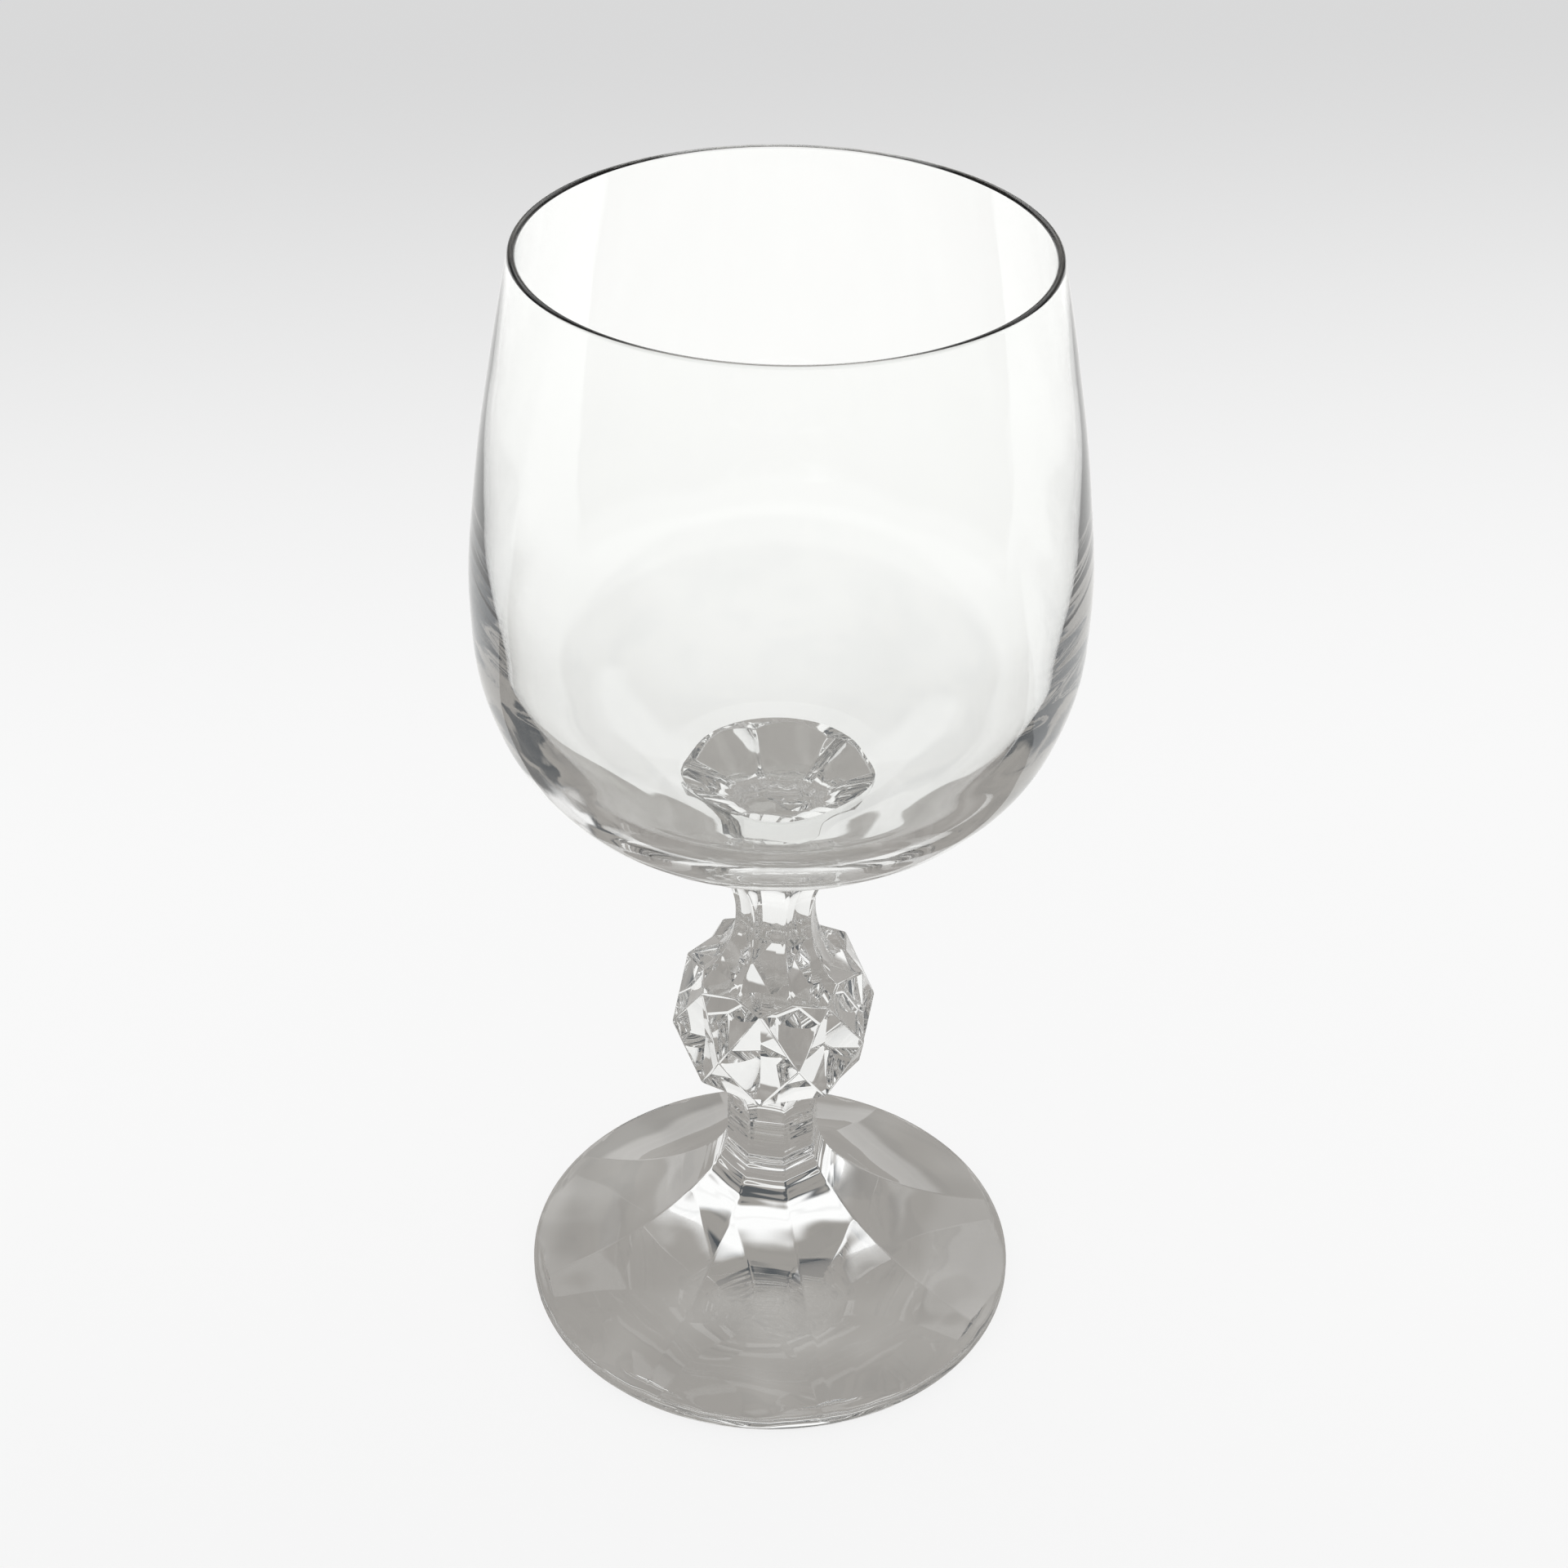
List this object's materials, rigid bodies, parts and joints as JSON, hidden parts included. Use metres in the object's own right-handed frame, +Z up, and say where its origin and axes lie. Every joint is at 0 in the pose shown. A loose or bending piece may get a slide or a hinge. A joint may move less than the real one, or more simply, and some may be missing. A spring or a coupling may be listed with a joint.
{
  "type": "wine glass",
  "caption": "Small clear stemmed wine glass: rounded bowl tapering to the rim, faceted ball knop between fluted necks, fluted trumpet foot.",
  "frame": {"origin": "centre of the plane that the foot rests on", "axes": "+Z up the stem's axis towards the rim; a flat of the stem faces -Y"},
  "size_m": [0.0728, 0.0728, 0.15],
  "materials": {
    "pressed_glass": "clear, fire-polished after pressing",
    "blown_glass": "clear, polished, rim rolled by flame"
  },
  "bodies": {
    "root": {"foot": "pressed_glass", "stem": "pressed_glass", "bowl": "blown_glass"}
  },
  "joints": []
}
